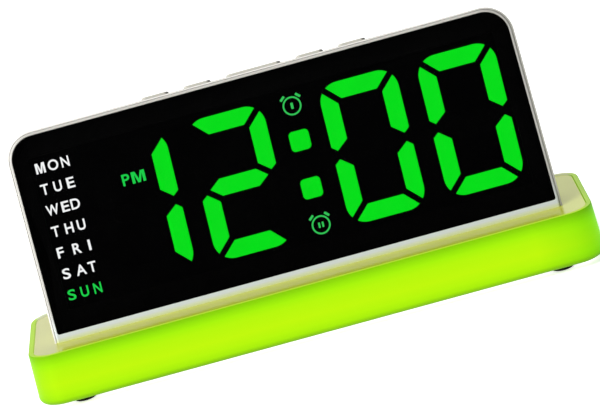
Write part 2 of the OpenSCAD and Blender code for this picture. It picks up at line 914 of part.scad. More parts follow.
module rear_housing() {
    edge = housing_edge_r;
    back = rear_in + lap;
    case_spots = [for (sx = [-1, 1]) for (z = case_boss_z) [sx * case_boss_x, z]];
    color("gainsboro") in_head() difference() {
        union() {
            head_sweep(housing_half, housing_top, housing_r) housing_profile();
            slab(rear_in, head_depth)
                head_shape(housing_half - edge, housing_top - edge, housing_r - edge);
            housing_floor();
            for (p = case_spots) {
                slab(case_joint_y, back) translate(p) circle(d = boss_d);
                slab(case_seat_y - case_seat_t, back) translate(p) circle(d = case_seat_d);
            }
            for (sx = [-1, 1])
                translate([sx * shelf_x - shelf_w / 2, rear_in - shelf_d, key_board_low - shelf_h])
                    cube([shelf_w, shelf_d + lap, shelf_h]);
            rotate([lean, 0, 0]) for (x = neck_x)
                translate([x, neck_setback, 0]) cylinder(d = boss_d, h = floor_t + neck_boss_h);
        }
        under_deck(0);
        for (i = [0 : 4])
            translate([key_xs[i], key_y, key_ceiling - over])
                linear_extrude(housing_wall + 2 * over)
                    round_rect(key_ws[i] + 2 * slide_gap, key_d + 2 * slide_gap, key_r + slide_gap);
        for (p = case_spots) {
            slab(case_joint_y - over, head_depth + over) translate(p) circle(d = pass_d);
            slab(case_seat_y, head_depth + over) translate(p) circle(d = sink_d);
        }
        for (sx = [-1, 1])
            translate([sx * shelf_x, shelf_screw_y, key_board_low - key_screw_len])
                cylinder(d = small_bore_d, h = key_screw_len + over);
        rotate([lean, 0, 0]) for (x = neck_x)
            translate([x, neck_setback, -over]) cylinder(d = bore_d, h = neck_screw_len);
        cable_hole();
    }
}

// Section of the bezel's rim: thin wall with a round front edge, and the ledge behind the lens
module bezel_profile() {
    wall = bezel_border - fit;
    translate([-wall, 0]) square([wall - bezel_edge_r, bezel_depth]);
    translate([-wall, bezel_edge_r]) square([wall, bezel_depth - bezel_edge_r]);
    translate([-bezel_edge_r, bezel_edge_r]) intersection() {
        circle(bezel_edge_r);
        translate([0, -bezel_edge_r]) square(bezel_edge_r);
    }
    translate([-bezel_border - ledge_in, tape_back]) square([ledge_in + bezel_border / 2, ledge_t]);
}

// Bosses for the board screws and the housing screws, each joined to the ledge by a web
module bezel_bosses() {
    web = boss_d / 2;
    low_z = case_boss_z[0];
    top_z = case_boss_z[1];
    for (m = [0, 1]) mirror([m, 0, 0]) {
        for (z = side_boss_z) {
            slab(tape_back, board_y) translate([side_boss_x, z]) circle(d = boss_d);
            slab(tape_back, ledge_back) translate([side_boss_x, z - web])
                square([side_boss_inset, boss_d]);
        }
        for (z = case_boss_z)
            slab(tape_back, case_joint_y) translate([case_boss_x, z]) circle(d = boss_d);
        slab(tape_back, ledge_back) translate([case_boss_x - web, sill_h])
            square([boss_d, low_z - sill_h]);
        slab(tape_back, ledge_back) translate([case_boss_x - web, top_z])
            square([boss_d, lens_top - top_z]);
    }
}

module front_bezel() {
    foot = lens_foot_r;
    sill_half = bezel_half - bezel_edge_r;
    bore_y = tape_back + 1;
    color("white") in_head() difference() {
        union() {
            head_sweep(bezel_half, bezel_top, bezel_r) bezel_profile();
            slab(0, ledge_back) translate([-sill_half, 0]) square([2 * sill_half, sill_h - fit]);
            slab(tape_back, ledge_back) translate([-sill_half, 0])
                square([2 * sill_half, sill_h + ledge_in]);
            for (m = [0, 1]) mirror([m, 0, 0]) slab(0, lens_back) difference() {
                translate([lens_w / 2 - foot, sill_h - foot / 2]) square([foot + fit, 1.5 * foot]);
                translate([lens_w / 2 - foot, sill_h + foot]) circle(foot + fit);
            }
            bezel_bosses();
        }
        under_deck(0);
        for (s = [-1, 1]) {
            for (z = side_boss_z)
                slab(bore_y, board_y + over) translate([s * side_boss_x, z]) circle(d = bore_d);
            for (z = case_boss_z)
                slab(bore_y, board_y + over) translate([s * case_boss_x, z]) circle(d = bore_d);
        }
    }
}

module display_lens() {
    color([0.05, 0.05, 0.05]) in_head() slab(lens_recess, lens_back) lens_shape(0);
}

// Black tape that holds the lens on the bezel's ledge and masks all but the reflector
module lens_tape() {
    half = reflector_half + slide_gap;
    low = reflector_low - slide_gap;
    top = reflector_top + slide_gap;
    color("black") in_head() slab(lens_back, tape_back) difference() {
        lens_shape(0);
        translate([-half, low]) square([2 * half, top - low]);
    }
}

// Outline of a digit with round corners; its lower left corner is the origin
module digit_outline(grow) {
    translate([digit_w / 2, digit_h / 2])
        round_rect(digit_w + 2 * grow, digit_h + 2 * grow, digit_r + grow);
}

// The bar along the top of a digit
module top_bar(grow) {
    cut = (bar_gap / 2 - grow) * sqrt(2);
    top = digit_h + grow;
    low = digit_h - bar_w - grow;
    intersection() {
        digit_outline(grow);
        polygon([
            [cut - grow, top],
            [bar_w + grow + cut, low],
            [digit_w - bar_w - grow - cut, low],
            [digit_w - cut + grow, top]
        ]);
    }
}

// The upper left bar of a digit
module side_bar(grow) {
    cut = (bar_gap / 2 - grow) * sqrt(2);
    tip = digit_h / 2 + tip_y - grow * sqrt(1 + tip_slope * tip_slope);
    intersection() {
        digit_outline(grow);
        polygon([
            [-grow, digit_h - cut + grow],
            [bar_w + grow, digit_h - cut - bar_w - grow],
            [bar_w + grow, tip + (bar_w + grow - tip_x) * tip_slope],
            [tip_x, tip],
            [-grow, tip + (tip_x + grow) * tip_slope]
        ]);
    }
}

// The bar across the middle of a digit
module middle_bar(grow) {
    slant = sqrt(1 + tip_slope * tip_slope);
    end = tip_x - tip_y / tip_slope + (bar_gap - grow) * slant / tip_slope;
    half = bar_w / 2 + grow;
    translate([0, digit_h / 2]) polygon([
        [end, 0],
        [end + half / tip_slope, half],
        [digit_w - end - half / tip_slope, half],
        [digit_w - end, 0],
        [digit_w - end - half / tip_slope, -half],
        [end + half / tip_slope, -half]
    ]);
}

// The seven bars of a digit, as flat shapes
module digit_bars(grow) {
    for (m = [0, 1]) translate([0, m * digit_h]) mirror([0, m]) {
        top_bar(grow);
        side_bar(grow);
        translate([digit_w, 0]) mirror([1, 0]) side_bar(grow);
    }
    middle_bar(grow);
}

module colon_squares(grow) {
    for (s = [-1, 1]) translate([colon_x, s * colon_rise])
        round_rect(colon_side + 2 * grow, colon_side + 2 * grow, colon_r + grow);
}

// Windows of the weekday words, the PM word and the two alarm symbols
module legend_shapes(grow) {
    for (b = legend_boxes) translate([b[0], b[1]])
        square([b[2] + 2 * grow, day_h + 2 * grow], center = true);
    for (z = icon_z) translate([colon_x, z]) circle(d = icon_d + 2 * grow);
}

module display_reflector() {
    color("dimgray") in_head() difference() {
        slab(reflector_y, board_y) difference() {
            translate([-reflector_half, reflector_low])
                square([2 * reflector_half, reflector_top - reflector_low]);
            translate([0, mid_z]) {
                for (x = digit_xs) translate([x, -digit_h / 2]) digit_bars(fit);
                colon_squares(fit);
                legend_shapes(-legend_seat);
            }
        }
        slab(reflector_y - over, reflector_y + legend_t) translate([0, mid_z]) legend_shapes(fit);
    }
}

module digit_node(x) {
    color("lime") in_head() slab(reflector_y, reflector_y + bar_t)
        translate([x, mid_z - digit_h / 2]) digit_bars(0);
}

module hour_tens_bars() {
    digit_node(hour_tens_x);
}

module hour_units_bars() {
    digit_node(hour_units_x);
}

module minute_tens_bars() {
    digit_node(minute_tens_x);
}

module minute_units_bars() {
    digit_node(minute_units_x);
}

module colon_bars() {
    color("lime") in_head() slab(reflector_y, reflector_y + bar_t)
        translate([0, mid_z]) colon_squares(0);
}

module legend_windows() {
    color("slategray") in_head() slab(reflector_y, reflector_y + legend_t)
        translate([0, mid_z]) legend_shapes(0);
}

// Places of the light chips in one digit: the middle of each bar
function bar_centres() = [
    [digit_w / 2, digit_h - bar_w / 2], [digit_w / 2, digit_h / 2], [digit_w / 2, bar_w / 2],
    for (x = [bar_w / 2, digit_w - bar_w / 2]) for (y = [digit_h / 4, 3 * digit_h / 4]) [x, y]
];

module display_chips() {
    spots = [
        for (x = digit_xs) for (c = bar_centres()) [x + c[0], c[1] - digit_h / 2],
        for (s = [-1, 1]) [colon_x, s * colon_rise],
        for (b = legend_boxes) [b[0], b[1]],
        for (z = icon_z) [colon_x, z]
    ];
    color("khaki") in_head() for (p = spots)
        translate([p[0], board_y - chip_t / 2, mid_z + p[1]])
            cube([chip_w, chip_t, chip_h], center = true);
}

module main_board() {
    color("darkgreen") in_head() slab(board_y, board_back) difference() {
        translate([-board_half, board_low]) square([2 * board_half, reflector_top - board_low]);
        for (s = [-1, 1]) for (z = side_boss_z)
            translate([s * side_boss_x, z]) circle(d = pass_d);
    }
}

// Box on the back of the main board; its place is measured from the lens's middle
module board_box(x, z, w, h, t) {
    translate([x, board_back + t / 2, mid_z + z]) cube([w, t, h], center = true);
}

module clock_circuit() {
    color("dimgray") in_head() {
        board_box(clock_chip_x, 0, clock_chip_w, clock_chip_w, clock_chip_t);
        for (x = [driver_x, driver_x + driver_pitch])
            board_box(x, driver_z, driver_w, driver_h, driver_t);
        board_box(0, 0, resistor_w, resistor_h, resistor_t);
        slab(board_back, board_back + crystal_t)
            translate([crystal_x, mid_z]) circle(d = crystal_d);
        translate([-socket_w / 2, board_back, reflector_low + socket_rise])
            cube([socket_w, socket_t, socket_h]);
    }
}

module board_screws() {
    color("silver") in_head() for (s = [-1, 1]) for (z = side_boss_z)
        translate([s * side_boss_x, board_back, z]) rotate([90, 0, 0])
            screw(screw_d, board_screw_len);
}

module housing_screws() {
    color("silver") in_head() for (s = [-1, 1]) for (z = case_boss_z)
        translate([s * case_boss_x, case_seat_y, z]) rotate([90, 0, 0])
            screw(screw_d, case_screw_len);
}

module key_board() {
    color("seagreen") in_head() difference() {
        translate([-key_board_half, key_board_y0, key_board_low])
            cube([2 * key_board_half, key_board_y1 - key_board_y0, key_board_t]);
        for (s = [-1, 1]) translate([s * shelf_x, shelf_screw_y, key_board_low - over])
            cylinder(d = small_pass_d, h = key_board_t + 2 * over);
    }
}

module key_switches() {
    well_low = plunger_top - plunger_h - key_travel - slide_gap;
    color("dimgray") in_head() for (x = key_xs) translate([x, key_y, 0]) difference() {
        translate([0, 0, switch_low + switch_h / 2])
            cube([switch_w, switch_d, switch_h], center = true);
        translate([0, 0, well_low]) cylinder(d = plunger_d + 2 * fit, h = switch_h);
    }
}

module key_board_screws() {
    color("silver") in_head() for (s = [-1, 1])
        translate([s * shelf_x, shelf_screw_y, key_board_low + key_board_t]) rotate([180, 0, 0])
            screw(small_d, key_board_t + key_screw_len - lap);
}

// Button cap with a flange that stops under the housing and a stem over the key switch
module button(i) {
    cap_h = housing_top + key_proud - key_flange_top;
    color("gainsboro") in_head() translate([key_xs[i], key_y, 0]) {
        translate([0, 0, key_flange_top - key_flange_t]) linear_extrude(key_flange_t)
            round_rect(key_ws[i] + 2 * key_flange_x, key_d + 2 * key_flange_y, key_r);
        translate([0, 0, key_flange_top]) pad(key_ws[i], key_d, key_r, cap_h, key_edge_r);
        translate([0, 0, key_stem_low]) cylinder(d = key_stem_d, h = key_flange_top - key_stem_low);
    }
}

module plunger(i) {
    color("black") in_head() translate([key_xs[i], key_y, plunger_top - plunger_h])
        cylinder(d = plunger_d, h = plunger_h);
}

module alarm_one_button() {
    button(0);
}

module alarm_one_plunger() {
    plunger(0);
}

module minus_button() {
    button(1);
}

module minus_plunger() {
    plunger(1);
}

module snooze_button() {
    button(2);
}

module snooze_plunger() {
    plunger(2);
}

module plus_button() {
    button(3);
}

module plus_plunger() {
    plunger(3);
}

module alarm_two_button() {
    button(4);
}

module alarm_two_plunger() {
    plunger(4);
}

night_light_ring();
base_deck();
base_plate();
rubber_feet();
base_screws();
battery_door();
battery_door_screw();
battery_cells();
battery_contacts();
speaker_basket();
speaker_cone();
speaker_magnet();
front_light_board();
rear_light_board();
night_light_lamps();
power_board();
power_board_screws();
power_inlet();
inlet_tongue();
cable_plug();
head_cable();
neck_screws();
rear_housing();
front_bezel();
display_lens();
lens_tape();
display_reflector();
hour_tens_bars();
hour_units_bars();
minute_tens_bars();
minute_units_bars();
colon_bars();
legend_windows();
display_chips();
main_board();
clock_circuit();
board_screws();
housing_screws();
key_board();
key_switches();
key_board_screws();
alarm_one_button();
alarm_one_plunger();
minus_button();
minus_plunger();
snooze_button();
snooze_plunger();
plus_button();
plus_plunger();
alarm_two_button();
alarm_two_plunger();
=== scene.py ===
import math

import bmesh
import bpy
from mathutils import Matrix, Vector


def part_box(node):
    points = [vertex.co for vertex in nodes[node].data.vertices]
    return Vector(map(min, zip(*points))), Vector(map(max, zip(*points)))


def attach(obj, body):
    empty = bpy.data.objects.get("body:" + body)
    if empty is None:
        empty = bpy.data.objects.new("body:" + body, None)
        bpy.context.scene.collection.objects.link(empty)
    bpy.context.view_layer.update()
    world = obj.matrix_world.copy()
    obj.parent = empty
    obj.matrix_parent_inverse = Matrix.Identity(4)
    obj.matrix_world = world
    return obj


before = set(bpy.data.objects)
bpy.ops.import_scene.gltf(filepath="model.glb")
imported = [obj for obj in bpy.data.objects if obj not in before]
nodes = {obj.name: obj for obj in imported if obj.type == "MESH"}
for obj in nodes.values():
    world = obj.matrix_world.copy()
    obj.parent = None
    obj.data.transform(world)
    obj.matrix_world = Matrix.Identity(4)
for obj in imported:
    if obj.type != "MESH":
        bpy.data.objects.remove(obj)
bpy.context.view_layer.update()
scene = bpy.context.scene
MM = 0.001
KEYS = ("alarm_one", "minus", "snooze", "plus", "alarm_two")


def extent(name, axes=Matrix()):
    """Lowest and highest corner of a node along the given axes, in millimetres."""
    spots = [axes @ vertex.co / MM for vertex in nodes[name].data.vertices]
    low = Vector([min(spot[i] for spot in spots) for i in range(3)])
    high = Vector([max(spot[i] for spot in spots) for i in range(3)])
    return low, high


# The base, in millimetres
RING_LOW, RING_TOP = (corner.z for corner in extent("night_light_ring"))
DECK_HALF_W, DECK_HALF_D, DECK_Z = extent("base_deck")[1]
DECK_GAP = 0.2
RING_WALL = 1.65
RIM_R = 9
RING_IN_HALF_W = DECK_HALF_W + DECK_GAP
RING_IN_HALF_D = DECK_HALF_D + DECK_GAP
RING_IN_R = RIM_R - RING_WALL
RIM_HALF_W = RING_IN_HALF_W + RING_WALL
RIM_HALF_D = RING_IN_HALF_D + RING_WALL

# Axes of the leaned head: x across its face, y into it and z up it, from the foot of the face
LEAN = math.radians(19)
FACE_Y = extent("front_bezel")[0].y
HEAD = Matrix.Translation((0, FACE_Y * MM, DECK_Z * MM)) @ Matrix.Rotation(-LEAN, 4, "X")
TO_HEAD = HEAD.inverted()

# The head, in millimetres
HEAD_HALF_W = extent("rear_housing")[1].x
SILL_H = 2.6
SILL_Z = DECK_Z + SILL_H
KEY_FLANGE_W = 0.8
KEY_FLANGE_D = 0.35
KEY_FRONT = extent("snooze_button", TO_HEAD)[0].y + KEY_FLANGE_D
lens_low, lens_high = extent("display_lens", TO_HEAD)
LENS_LEFT = lens_low.x
MID_Z = (lens_low.z + lens_high.z) / 2

# Lit bars of the digits, which lie a little inside the solid bars, in millimetres
LIT_INSET = 0.09
digit_low, digit_high = extent("hour_tens_bars", TO_HEAD)
DIGIT_W = digit_high.x - digit_low.x - 2 * LIT_INSET
DIGIT_H = digit_high.z - digit_low.z - 2 * LIT_INSET
DIGIT_R = 7
BAR_W = 6.3 - 2 * LIT_INSET
BAR_GAP = 2 + 2 * LIT_INSET
TIP_SLOPE = 0.8
TIP_X = 2
TIP_Y = 0.7 * BAR_GAP
LIT_BARS = {
    "hour_tens": "bc",
    "hour_units": "abged",
    "minute_tens": "abcdef",
    "minute_units": "abcdef",
}

# Lit squares of the colon, in millimetres
COLON_INSET = 0.125
COLON_R = 1.5
colon_low, colon_high = extent("colon_bars", TO_HEAD)
COLON_X = (colon_low.x + colon_high.x) / 2
COLON_HOLE = colon_high.x - colon_low.x
COLON_HALF = COLON_HOLE / 2 - COLON_INSET
COLON_RISE = (colon_high.z - colon_low.z - COLON_HOLE) / 2

# The lit and printed film lies between the lens and the light bars, in millimetres
FILM_GAP = 0.04
FILM_FRONT = lens_high.y + FILM_GAP
FILM_BACK = digit_low.y - FILM_GAP
ARC_STEPS = 12
# How far the lit marks and the words lean to the right for each millimetre up
MARK_SLANT = 0.023
WORD_SLANT = 0.008

# Alarm symbols, in millimetres and degrees
ICON_R = 3.35
ICON_STROKE = 0.6
BELL_X = 2.8
BELL_Y = 3.2
BELL_HALF_W = 1.05
BELL_HALF_H = 0.44
BELL_R = 0.2
BELL_TILT = 42
STROKE_R = 0.15
# The middle of each symbol on the face, and the places, height and width of the strokes in it
ALARM_SIGNS = {
    "alarm_one_sign": ((9.4, 21.0), (0,), 2.2, 0.9),
    "alarm_two_sign": ((9.3, -21.9), (-0.65, 0.65), 1.9, 0.7),
}

# Letters of the built-in font, in shares of its size
LETTER_BOLD = 0.017
LETTER_STEPS = 6
LETTER_WELD = 1e-5
# Letters on the face, in millimetres
LETTER_H = 3.75
LETTER_W = {
    "M": 3.45, "O": 3.7, "N": 2.85, "T": 2.8, "U": 2.9, "E": 2.75, "W": 4.55, "D": 3.25, "H": 2.95,
    "F": 2.4, "R": 3.0, "I": 0.85, "S": 2.8, "A": 3.6,
}
# Half of the letter M, from its lower left corner up and over to its middle, in shares of its box
M_HALF = ((0, 0), (0, 1), (0.3, 1), (0.5, 0.32))
M_HALF_INSIDE = ((0.4, 0), (0.21, 0.76), (0.21, 0))
# Weekday words, top to bottom, and how far the middle letter stands right of the middle
DAYS = (("MON", 0), ("TUE", 0), ("WED", 0.2), ("THU", 0.3), ("FRI", 0.3), ("SAT", 0.6))
LIT_DAY = "SUN"
DAY_LEFT = LENS_LEFT + 7.05
DAY_RIGHT = LENS_LEFT + 19.2
DAY_TOP = 23.2
DAY_PITCH = 7.63
# The left and right edges of the half-day word's letters, from the lens's left edge, and its height
HALF_DAY = {"P": (35.5, 38.2), "M": (38.95, 43.8)}
HALF_DAY_LOW = 9.25
HALF_DAY_TOP = 13.35

# Strengths of what is lit and of the deck's painted glow, and shares of colour in the plastic of the lit
# base
RING_GLOW = 0.77
RING_BODY = 0.22
DECK_PAINTED_GLOW = 0.16
DECK_BODY = 0.8
LENS_ALPHA = 0.5
# Light from the film passes both faces of the lens
FILM_GLOW = 1 / (1 - LENS_ALPHA) ** 2

# Grain of moulded plastic: its depth in millimetres, its scale per metre, and shares of tint and sheen
GRAIN_DEPTH = 0.02
FINE_GRAIN = 2800
SPECKLE = 0.06
SPECKLE_SPREAD = 0.25
SHEEN_SPREAD = 0.06

# Where the ring's painted light and painted shade begin and end, in millimetres
# Painted shade, darker toward the right end of the ring
RIGHT_PAINTED_SHADE = (RIM_HALF_W - 22.6, RIM_HALF_W + 1.2)
RIGHT_PAINTED_SHADE_SHARE = 0.7
# Painted shade, dimming the glow at the left end
LEFT_PAINTED_SHADE = (-RIM_HALF_W - 0.7, 6.6 - RIM_HALF_W)
# Painted light from the left, fading to painted shade at the right, across the rim's tints
LEFT_TO_RIGHT = (-50, 50)
# Painted light and shade on the rim's inner wall
INNER_WALL = (-0.3, -0.1)
# Painted cream reflection along the rear of the rim
REAR_RIM = (RIM_HALF_D - 8.5, RIM_HALF_D - 7)
REAR_RIM_ENDS = (RIM_HALF_W - 3.4, RIM_HALF_W - 1.8)
# Painted highlight on the flat top of the rim at its ends
END_RIM = (RIM_HALF_W - 4.1, RIM_HALF_W - 1.6)
# The same in shares of the ring's height
BRIGHTEST = 0.45
FROM_BRIGHTEST = (0.25, 0.5)
# Painted highlight on the rim's flat top, and painted reflection on its rear edge
RIM_FLAT = (0.997, 1.0)
RIM_EDGE = (0.985, 0.995)

# Painted light on the deck: where each patch begins and ends, in millimetres
# Painted light of the ring, mustard near the deck's edges
PAINTED_RING_LIGHT = (0, 12)
# Painted light behind the head, where its shadow falls
BEHIND_FACE = (FACE_Y + 2, FACE_Y + 6)
BEHIND_HEAD_ENDS = (75, HEAD_HALF_W)
# Painted light at the deck's ends, paler than the strip in front of the head
LEFT_END = (-HEAD_HALF_W, 1 - HEAD_HALF_W)
RIGHT_END = (HEAD_HALF_W - 1, HEAD_HALF_W)

# Painted light and shade on the head: where each begins and ends, in millimetres; depths count from the
# face
# Painted light along the outer front edges of bezel and housing
PAINTED_EDGE_LIGHT_ENDS = (72, 88)
BEZEL_EDGE_LIGHT_DEPTH = (0.1, 0.6)
HOUSING_EDGE_LIGHT_DEPTH = (1.2, 3.0)
# Along the key row the housing's painted edge light stops at the lip, and returns past the keys
LIP_DEPTH = (0.5, 0.63)
KEY_ROW_FADE = 20
# Painted reflection of the lime deck at the foot of the sill
PAINTED_DECK_REFLECTION = (DECK_Z, DECK_Z + 1.6)
# Painted light along the sill, blending into the warm grey above
SILL_BLEND = (SILL_Z, SILL_Z + 8)
# Painted shade on each key's front right corner: how deep it reaches behind the key's front
KEY_PAINTED_SHADE_DEPTH = (KEY_FRONT + 0.8, KEY_FRONT + 1.6)
# How far in from the right end of a key's cap its corner's painted shade begins and ends
KEY_PAINTED_SHADE_IN = (1.7, 0.9)

# Floor and key light, in metres and watts
FLOOR_HALF = 6.0
FLOOR_GLOW = 0.6
LIGHT_PLACE = Vector((-1.0, -0.6, 0.95))
LIGHT_AIM = Vector((0, 0, 0.04))
LIGHT_SIZE = 0.9
LIGHT_WATTS = 16

# Sky, with dark flags: which way each lies, the cosines at its edge and core, and its shade
SKY = 0.95
# How high the front flag lies: the lens mirrors that way to the camera
LENS_MIRROR = math.radians(22.5)
FRONT_FLAG = {
    "aim": (0, -math.cos(LENS_MIRROR), math.sin(LENS_MIRROR)), "edge": 0.78, "core": 0.96, "shade": 0.03,
}
RIGHT_FLAG = {"aim": (1, -0.25, 0.1), "edge": 0.0, "core": 0.7, "shade": 0.15}

# Camera: angles, then millimetres
VIEW_AZIMUTH = math.radians(1.095)
VIEW_ELEVATION = math.radians(15.542)
VIEW_ROLL = math.radians(-15.564)
VIEW_TARGET = Vector((3.05, -1.5, 40.35))
VIEW_DISTANCE = 1156
VIEW_CLIP = 10
FOCAL_LENGTH = 198
SENSOR_WIDTH = 36


# Colours

def srgb(r, g, b):
    """Linear colour, with alpha 1, of a screen colour in 0 to 255."""
    def lin(c):
        c /= 255
        return c / 12.92 if c <= 0.04045 else ((c + 0.055) / 1.055) ** 2.4
    return (lin(r), lin(g), lin(b), 1.0)


def scaled(colour, k):
    return tuple(c * k for c in colour[:3]) + (1.0,)


def tones(colour, spread):
    """Ramp stops from a slightly darker to a slightly lighter tone."""
    return [(0.25, scaled(colour, 1 - spread)), (0.75, scaled(colour, 1 + spread))]


def deck_tint(r, g, b):
    """Screen colour as the deck's plastic shows it."""
    return scaled(srgb(r, g, b), DECK_BODY)


HOUSING_GREY = srgb(192, 190, 181)
KEY_GREY = srgb(204, 202, 191)
# Painted light for the head's outer front edges
PAINTED_EDGE_LIGHT = srgb(238, 236, 230)


# Node helpers

class Nodes:
    """A material's node tree with its Principled shader and short ways to add nodes."""

    def __init__(self, name):
        self.mat = bpy.data.materials.new(name)
        self.mat.use_nodes = True
        self.tree = self.mat.node_tree
        self.shader = self.tree.nodes["Principled BSDF"]
        self.where = self.tree.nodes.new("ShaderNodeTexCoord").outputs["Object"]

    def add(self, kind, **sockets):
        node = self.tree.nodes.new(kind)
        for key, value in sockets.items():
            node.inputs[key.replace("_", " ")].default_value = value
        return node

    def link(self, a, b):
        self.tree.links.new(a, b)

    def set(self, **sockets):
        for key, value in sockets.items():
            self.shader.inputs[key.replace("_", " ")].default_value = value

    def noise(self, scale, detail, rough=0.5, stretch=None):
        node = self.add("ShaderNodeTexNoise", Scale=scale, Detail=detail, Roughness=rough)
        where = self.where
        if stretch:
            mapping = self.add("ShaderNodeMapping", Scale=stretch)
            self.link(where, mapping.inputs["Vector"])
            where = mapping.outputs["Vector"]
        self.link(where, node.inputs["Vector"])
        return node.outputs["Fac"]

    def flow(self):
        """Broad, faint flow marks of moulded plastic."""
        return self.noise(45, detail=4)

    def grain(self, scale):
        """Fine grain of a mould's skin."""
        return self.noise(scale, detail=2, rough=0.6)

    def ramp(self, fac, stops):
        node = self.tree.nodes.new("ShaderNodeValToRGB")
        ends = node.color_ramp.elements
        while len(ends) < len(stops):
            ends.new(0.5)
        for end, (at, colour) in zip(ends, stops):
            end.position = at
            end.color = colour
        self.link(fac, node.inputs["Fac"])
        return node.outputs["Color"]

    def span(self, value, low, high, to_low=0.0, to_high=1.0):
        node = self.tree.nodes.new("ShaderNodeMapRange")
        for key, number in (("From Min", low), ("From Max", high),
                            ("To Min", to_low), ("To Max", to_high)):
            node.inputs[key].default_value = number
        self.link(value, node.inputs["Value"])
        return node.outputs["Result"]

    def fade(self, value, edges, to_low=0.0, to_high=1.0):
        """Map a length between two edges, given in millimetres, to a share."""
        low, high = edges
        return self.span(value, low * MM, high * MM, to_low, to_high)

    def math(self, what, a, b=None):
        node = self.tree.nodes.new("ShaderNodeMath")
        node.operation = what
        for socket, value in zip(node.inputs, (a, b)):
            if value is None:
                continue
            if isinstance(value, (int, float)):
                socket.default_value = value
            else:
                self.link(value, socket)
        return node.outputs["Value"]

    def mix(self, fac, a, b, how="MIX"):
        node = self.tree.nodes.new("ShaderNodeMix")
        node.data_type = "RGBA"
        node.blend_type = how
        for socket, value in ((node.inputs[0], fac), (node.inputs[6], a), (node.inputs[7], b)):
            if isinstance(value, (int, float, tuple)):
                socket.default_value = value
            else:
                self.link(value, socket)
        return node.outputs[2]

    def xyz(self):
        node = self.tree.nodes.new("ShaderNodeSeparateXYZ")
        self.link(self.where, node.inputs["Vector"])
        return node.outputs

    def depth(self):
        """Depth behind the head's face."""
        node = self.tree.nodes.new("ShaderNodeVectorMath")
        node.operation = "DOT_PRODUCT"
        back = Vector((0, math.cos(LEAN), -math.sin(LEAN)))
        node.inputs[1].default_value = back
        self.link(self.where, node.inputs[0])
        return self.math("SUBTRACT", node.outputs["Value"], back.dot(HEAD.translation))

    def inside_ring(self):
        """Distance inward from the ring's inner wall, round the corners too."""
        x, y, _ = self.xyz()
        squares = []
        for value, half in ((x, RING_IN_HALF_W), (y, RING_IN_HALF_D)):
            past = self.math("SUBTRACT", self.math("ABSOLUTE", value), (half - RING_IN_R) * MM)
            past = self.math("MAXIMUM", past, 0.0)
            squares.append(self.math("MULTIPLY", past, past))
        return self.math("SUBTRACT", RING_IN_R * MM, self.math("SQRT", self.math("ADD", *squares)))

    def colour(self, socket):
        self.link(socket, self.shader.inputs["Base Color"])

    def shine(self, socket, strength):
        self.link(socket, self.shader.inputs["Emission Color"])
        self.set(Emission_Strength=strength)

    def rough(self, value, low, high):
        self.link(self.span(value, 0.3, 0.7, low, high), self.shader.inputs["Roughness"])

    def bump(self, height, strength, depth_mm=GRAIN_DEPTH):
        node = self.add("ShaderNodeBump", Strength=strength, Distance=depth_mm * MM)
        self.link(height, node.inputs["Height"])
        self.link(node.outputs["Normal"], self.shader.inputs["Normal"])

    def plastic(self, tint, colour, grain, rough, relief):
        """Moulded plastic: a tint with fine speckle, uneven sheen and the grain's relief."""
        self.colour(self.mix(SPECKLE, tint, self.ramp(grain, tones(colour, SPECKLE_SPREAD))))
        self.rough(grain, rough - SHEEN_SPREAD, rough + SHEEN_SPREAD)
        self.bump(grain, relief)


# Materials of many pieces

def moulded(name, colour, rough, grain_mm=0.35, relief=0.12, spread=0.04, gloss=0.5):
    """Moulded plastic of one colour."""
    n = Nodes(name)
    n.set(Specular_IOR_Level=gloss)
    tint = n.ramp(n.flow(), tones(colour, spread))
    n.plastic(tint, colour, n.grain(1 / (grain_mm * MM)), rough, relief)
    return n.mat


def metal(name, colour, rough, streak=(1, 1, 1)):
    """Plated or rolled metal with drawn streaks and fine scratches."""
    n = Nodes(name)
    n.set(Metallic=1.0)
    lines = n.noise(900, detail=5, rough=0.65, stretch=streak)
    n.colour(n.ramp(lines, tones(colour, 0.12)))
    n.rough(lines, rough - 0.08, rough + 0.1)
    n.bump(lines, strength=0.15)
    return n.mat


def circuit_board(name, mask, copper):
    """Solder mask over a maze of tracks."""
    n = Nodes(name)
    tracks = n.add("ShaderNodeTexBrick", Scale=260.0, Color1=mask, Color2=scaled(mask, 1.25),
                   Mortar=copper, Mortar_Size=0.06)
    n.link(n.where, tracks.inputs["Vector"])
    cloud = n.noise(120, detail=3)
    n.colour(n.mix(0.25, tracks.outputs["Color"], n.ramp(cloud, tones(mask, 0.2))))
    n.rough(cloud, 0.3, 0.5)
    n.bump(tracks.outputs["Fac"], strength=0.3, depth_mm=0.03)
    return n.mat


# Materials of the lit base

